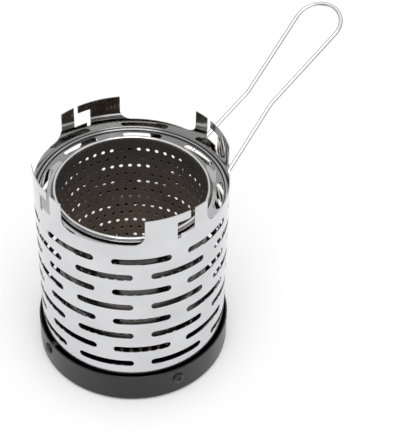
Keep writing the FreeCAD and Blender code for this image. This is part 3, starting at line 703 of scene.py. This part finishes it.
def make_cap():
    profile = profile_run([(PINHOLE, PANEL_DEPTH), (PANEL_FLAT, PANEL_DEPTH), (PANEL_EDGE, 0),
                           (CAP_RADIUS, 0), (CAP_RADIUS, CAP_HEIGHT)],
                          [PANEL_BEND, PANEL_BEND, CAP_CORNER])
    rise = distances(profile)[-1] - (CAP_HEIGHT - SCREW_HEIGHT)
    outlines = [vent_on_strip(2 * math.pi * i / VENT_COUNT) for i in range(VENT_COUNT)]
    outlines += [round_hole(2 * math.pi / CAP_SCREWS * i * CAP_RADIUS, rise, SCREW_HOLE, corners=16)
                 for i in range(CAP_SCREWS)]
    return pressed_sheet("drawn_cap", profile, outlines, CAP_SHEET, GRID_COLUMNS, CAP_RADIUS)


cap = make_cap()
fit(cap, "cover", [cap_enamel, cap_enamel], "black_enamel", "cap")

# %% [markdown]
# The handle is one wire, bent by hand tools over pins: a hook at each end goes through a slot of
# the sleeve, and the legs swell, draw in to a neck and open again into a round grip. The run of
# its centre line is worked out from the hinge, which the frame gives. A helper closes a row of
# rings into a skin, and the screws use it too.

# %% Wire handle
WIRE_RADIUS = 1.2
HOOK_HALF_SPACING, HOOK_RISE, HOOK_BEND, HOOK_GAP = 9.4, 8.0, 3.0, 0.3
HANDLE_SLOPE = math.radians(27.1)
BELLY_REACH, BELLY_HALF_WIDTH, BELLY_BEND = 11.0, 13.2, 16.0
NECK_REACH, NECK_HALF_WIDTH, NECK_BEND = 59.3, 8.2, 14.0
GRIP_REACH, GRIP_RADIUS = 115.0, 13.4
WIRE_SIDES = 24
WIRE_BEND_STEP = math.radians(5)
WIRE_END_ANGLES = (0.3, 0.7, 1.1)
SAME_PLACE = 0.001

hinge = next(joint for joint in frame["joints"] if joint["name"] == "handle_hinge")
hinge_place = Vector(hinge["pos_m"]) / MM
hinge_axis = Vector(hinge["axis"]).normalized()
outwards = Vector((0, 0, 1)).cross(hinge_axis)
hinge_reach = math.hypot(hinge_place.x, hinge_place.y)
if outwards.dot(hinge_place) < 0:
    outwards = -outwards
across = Vector((0, 0, 1)).cross(outwards)


def handle_corners():
    """The corners of one side, as (along, across, up) from the hinge, and the bend radii."""
    hook_circle = SLEEVE_RADIUS - SLEEVE_SHEET - HOOK_GAP - WIRE_RADIUS
    hook_x = math.sqrt(hook_circle**2 - HOOK_HALF_SPACING**2) - hinge_reach
    bend_x = hook_x + HOOK_BEND
    leave_x = bend_x + HOOK_BEND * math.sin(HANDLE_SLOPE)
    leave_z = math.sqrt(HOOK_BEND**2 - bend_x**2) - HOOK_BEND * math.cos(HANDLE_SLOPE)
    corner_z = leave_z - (leave_x - hook_x) * math.tan(HANDLE_SLOPE)
    sleeve_x = SLEEVE_RADIUS - hinge_reach
    sleeve_z = leave_z + (sleeve_x - leave_x) * math.tan(HANDLE_SLOPE)

    def on_slope(reach, half_width):
        return (sleeve_x + reach * math.cos(HANDLE_SLOPE), half_width,
                sleeve_z + reach * math.sin(HANDLE_SLOPE))

    grip_run = GRIP_REACH - NECK_REACH
    lean = (math.asin(GRIP_RADIUS / math.hypot(grip_run, NECK_HALF_WIDTH))
            - math.atan2(NECK_HALF_WIDTH, grip_run))
    corner_half = GRIP_RADIUS * math.tan((math.pi / 2 + lean) / 2)
    corners = [(hook_x, HOOK_HALF_SPACING, HOOK_RISE), (hook_x, HOOK_HALF_SPACING, corner_z),
               on_slope(BELLY_REACH, BELLY_HALF_WIDTH), on_slope(NECK_REACH, NECK_HALF_WIDTH),
               on_slope(GRIP_REACH + GRIP_RADIUS, corner_half)]
    return corners, [HOOK_BEND, BELLY_BEND, NECK_BEND, GRIP_RADIUS]


def skin_rings(name, rings):
    """Close a row of rings, each with as many points, into one smooth piece."""
    sides = len(rings[0])
    faces = [tuple(reversed(range(sides)))]
    for i in range(len(rings) - 1):
        near, far = i * sides, (i + 1) * sides
        for j in range(sides):
            k = (j + 1) % sides
            faces.append((near + j, near + k, far + k, far + j))
    faces.append(tuple(range((len(rings) - 1) * sides, len(rings) * sides)))
    mesh = bpy.data.meshes.new(name)
    mesh.from_pydata([point for ring_points in rings for point in ring_points], [], faces)
    mesh.polygons.foreach_set("use_smooth", [True] * len(mesh.polygons))
    piece = bpy.data.objects.new(name, mesh)
    bpy.context.scene.collection.objects.link(piece)
    return piece


def wire_rings(run):
    """Carry a circle along the run without twist, and close each end with a small dome."""
    side = run[0][1].orthogonal().normalized()
    rings = []
    last_way = run[0][1]
    stations = [(run[0][0] + run[0][1] * WIRE_RADIUS * (1 - math.cos(a)), run[0][1], math.sin(a))
                for a in WIRE_END_ANGLES]
    stations += [(point, way, 1.0) for (before, _), (point, way) in zip(run, run[1:-1])
                 if (point - before).length > SAME_PLACE]
    end, end_way = run[-1]
    stations += [(end - end_way * WIRE_RADIUS * (1 - math.cos(a)), end_way, math.sin(a))
                 for a in reversed(WIRE_END_ANGLES)]
    for point, way, share in stations:
        side = last_way.rotation_difference(way) @ side
        last_way = way
        up_side = way.cross(side)
        rings.append([point + (side * math.cos(t) + up_side * math.sin(t)) * WIRE_RADIUS * share
                      for t in (2 * math.pi * i / WIRE_SIDES for i in range(WIRE_SIDES))])
    return rings


def make_handle():
    corners, radii = handle_corners()
    mirrored = [(x, -y, z) for x, y, z in reversed(corners)]
    run = bend_run(corners + mirrored, radii + radii[::-1], WIRE_BEND_STEP)
    rings = [[(hinge_place + outwards * p.x + across * p.y + Vector((0, 0, p.z))) * MM
              for p in ring_points] for ring_points in wire_rings(run)]
    print("handle has", len(rings), "rings of", WIRE_SIDES)
    return skin_rings("bent_wire_handle", rings)


handle = make_handle()
fit(handle, "handle", [wire_steel], "bright_wire", "wire_handle")

# %% [markdown]
# A cap screw has a low domed head with a cross recess, pressed in when the head is forged. The
# head is a disc of rings and spokes whose height is the dome's, less the recess where a point
# falls inside the cross. The shank below is plain, since nothing shows its thread.

# %% Cap screws
HEAD_RADIUS, HEAD_HEIGHT = 3.2, 1.25
SHANK_RADIUS = 1.5
SPOKES, HEAD_RINGS = 96, 34
HEAD_EDGE, DOME_POWER = 0.3, 2.6
CROSS_REACH, CROSS_HALF_WIDTH, CROSS_DEPTH = 1.75, 0.34, 0.7
CROSS_SIDE_SLOPE, CROSS_END_SLOPE = 0.14, 0.5
TIP_SHARE, TIP_BEVEL = 0.6, 0.4
SHARP_BEND = math.radians(40)
HEAD_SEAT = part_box("cap_screw_1")[1].x / MM - HEAD_HEIGHT
SHANK_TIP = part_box("cap_screw_1")[0].x / MM


def dome_height(across, up):
    """The height of a head's surface above its seat, in millimetres."""
    share = math.hypot(across, up) / HEAD_RADIUS
    dome = HEAD_EDGE + (HEAD_HEIGHT - HEAD_EDGE) * math.sqrt(max(0.0, 1 - share**DOME_POWER))
    arm_in = min(abs(across), abs(up))
    arm_out = max(abs(across), abs(up))
    inside = min((CROSS_HALF_WIDTH - arm_in) / CROSS_SIDE_SLOPE,
                 (CROSS_REACH - arm_out) / CROSS_END_SLOPE)
    return dome - CROSS_DEPTH * min(1.0, max(0.0, inside))


def make_screw(number):
    """Rings from the shank's tip out to the head's rim, and then inwards over the dome."""
    turn = 2 * math.pi / CAP_SCREWS * (number - 1)
    from_axis = Vector((math.cos(turn), math.sin(turn), 0))
    sideways = Vector((-math.sin(turn), math.cos(turn), 0))

    def screw_ring(radius, reach):
        points = []
        for i in range(SPOKES):
            angle = 2 * math.pi * i / SPOKES
            across, up = radius * math.cos(angle), radius * math.sin(angle)
            out = HEAD_SEAT + dome_height(across, up) if reach is None else reach
            points.append((from_axis * out + sideways * across
                           + Vector((0, 0, SCREW_HEIGHT + up))) * MM)
        return points

    shank = [(SHANK_RADIUS * TIP_SHARE, SHANK_TIP), (SHANK_RADIUS, SHANK_TIP + TIP_BEVEL),
             (SHANK_RADIUS, HEAD_SEAT), (HEAD_RADIUS, HEAD_SEAT)]
    dome = [(HEAD_RADIUS * (1 - i / HEAD_RINGS), None) for i in range(HEAD_RINGS)]
    piece = skin_rings("domed_screw_%d" % number, [screw_ring(*ring) for ring in shank + dome])
    piece.data.set_sharp_from_angle(angle=SHARP_BEND)
    return piece


for number in range(1, CAP_SCREWS + 1):
    fit(make_screw(number), "cover", [screw_oxide], "black_screw", "cap_screw_%d" % number)
print("made", CAP_SCREWS, "screws, each of", (HEAD_RINGS + 4) * SPOKES, "points")

# %% [markdown]
# The nuts and collars sit behind the cap's skirt, out of sight, so the CAD solids stay and only
# get their plating.

# %% Nuts and collars
for name, node in frame["nodes"].items():
    if name.startswith("cap_nut") or name.startswith("cap_spacer"):
        node.data.materials.clear()
        node.data.materials.append(zinc)
        print(name, "is zinc plated")

# %% [markdown]
# Polished steel has hardly a colour of its own: it shows the room. The floor is white paper, which
# ends in a grey floor some way off. That grey is what metal mirrors low down, and it draws the
# dark edges on the wire. The camera itself sees paper everywhere, with the object's shadow on it,
# and a faint glow, stronger far off, lifts it to white.

# %% Floor
PAPER_ENDS = (0.25, 0.8)
FLOOR_HALF = 8.0
PAPER_COLOUR, FAR_COLOUR = "fafafa", "6a6a6a"
PAPER_GLOW, PAPER_FAR_GLOW = 0.13, 0.4


def seen_share(tree, mirrored):
    """How far a ray sees the backdrop's white: the camera's fully, and a ray from metal or
    through glass as far as this share, so that the metal shows the white sheet too."""
    path = add_node(tree, "ShaderNodeLightPath")
    indirect = add_node(tree, "ShaderNodeMath",
                        {0: path.outputs["Is Glossy Ray"], 1: path.outputs["Is Transmission Ray"]},
                        operation="MAXIMUM")
    share = add_node(tree, "ShaderNodeMath", {0: indirect.outputs[0], 1: mirrored},
                     operation="MULTIPLY")
    return add_node(tree, "ShaderNodeMath", {0: path.outputs["Is Camera Ray"], 1: share.outputs[0]},
                    operation="MAXIMUM").outputs[0]


floor_material, floor_tree = new_material("white_paper_floor")
floor_place = add_node(floor_tree, "ShaderNodeNewGeometry").outputs["Position"]
floor_reach = add_node(floor_tree, "ShaderNodeVectorMath", {0: floor_place}, operation="LENGTH")
beyond = add_node(floor_tree, "ShaderNodeMapRange",
                  {"Value": floor_reach.outputs["Value"], "From Min": PAPER_ENDS[0],
                   "From Max": PAPER_ENDS[1]}, interpolation_type="SMOOTHSTEP")
floor_colour = colour_over(floor_tree, beyond.outputs[0], linear(PAPER_COLOUR), linear(FAR_COLOUR))
paper = add_node(floor_tree, "ShaderNodeBsdfDiffuse", {"Color": floor_colour})
white = add_node(floor_tree, "ShaderNodeBsdfDiffuse", {"Color": WHITE})
far_glow = add_node(floor_tree, "ShaderNodeMapRange",
                    {"Value": beyond.outputs[0], "To Min": PAPER_GLOW, "To Max": PAPER_FAR_GLOW})
glow = add_node(floor_tree, "ShaderNodeEmission",
                {"Color": WHITE, "Strength": far_glow.outputs[0]})
lift = add_node(floor_tree, "ShaderNodeAddShader", {0: white.outputs[0], 1: glow.outputs[0]})
within = add_node(floor_tree, "ShaderNodeMath", {0: 1.0, 1: beyond.outputs[0]},
                  operation="SUBTRACT")
floor_shader = add_node(floor_tree, "ShaderNodeMixShader",
                        {"Fac": seen_share(floor_tree, within.outputs[0]),
                         1: paper.outputs[0], 2: lift.outputs[0]})
finish_material(floor_tree, floor_shader)
floor_mesh = bpy.data.meshes.new("floor")
floor_mesh.from_pydata([(FLOOR_HALF * x, FLOOR_HALF * y, 0)
                        for x, y in ((-1, -1), (1, -1), (1, 1), (-1, 1))], [], [(0, 1, 2, 3)])
floor_mesh.materials.append(floor_material)
floor = bpy.data.objects.new("floor", floor_mesh)
bpy.context.scene.collection.objects.link(floor)
print("paper ends", PAPER_ENDS[0], "to", PAPER_ENDS[1], "m from the middle")

# %% [markdown]
# Round and above the paper stands a tent of white cloth. It is bright overhead and dim near the
# ground, so most of the light falls from above. The camera sees plain white behind the object.

# %% Light tent
TENT_STRENGTH = 0.9
TENT_RISES = (0.05, 0.95)
DIM_SHARE = 0.2

world = bpy.data.worlds.new("light_tent")
bpy.context.scene.world = world
world.use_nodes = True
world_tree = world.node_tree
world_tree.nodes.clear()
sky_way = add_node(world_tree, "ShaderNodeTexCoord").outputs["Generated"]
sky_rise = add_node(world_tree, "ShaderNodeSeparateXYZ", {0: sky_way}).outputs["Z"]
cloth = add_node(world_tree, "ShaderNodeMapRange",
                 {"Value": sky_rise, "From Min": TENT_RISES[0], "From Max": TENT_RISES[1]},
                 interpolation_type="SMOOTHSTEP").outputs[0]
tent_light = add_node(world_tree, "ShaderNodeMapRange",
                      {"Value": cloth, "To Min": TENT_STRENGTH * DIM_SHARE,
                       "To Max": TENT_STRENGTH})
tent = add_node(world_tree, "ShaderNodeBackground",
                {"Color": WHITE, "Strength": tent_light.outputs[0]})
backdrop = add_node(world_tree, "ShaderNodeBackground", {"Color": WHITE, "Strength": 1.0})
room = add_node(world_tree, "ShaderNodeMixShader",
                {"Fac": seen_share(world_tree, cloth), 1: tent.outputs[0], 2: backdrop.outputs[0]})
add_node(world_tree, "ShaderNodeOutputWorld", {"Surface": room.outputs[0]})
print("tent strength", TENT_STRENGTH)

# %% [markdown]
# One wide softbox hangs above and in front. It is large, so its reflections are soft and the
# shadow round the cap has no hard edge.

# %% Softbox
def softbox(name, place, aim, size, power):
    lamp = bpy.data.lights.new(name, "AREA")
    lamp.shape = "RECTANGLE"
    lamp.size, lamp.size_y = size
    lamp.energy = power
    holder = bpy.data.objects.new(name, lamp)
    holder.location = place
    holder.rotation_euler = (Vector(aim) - Vector(place)).to_track_quat("-Z", "Y").to_euler()
    bpy.context.scene.collection.objects.link(holder)


softbox("key_softbox", place=(-0.3, -0.6, 1.5), aim=(0, 0, 0.06), size=(1.1, 1.1), power=8.5)
bpy.context.scene.view_settings.view_transform = "Standard"
print("hung the key softbox")
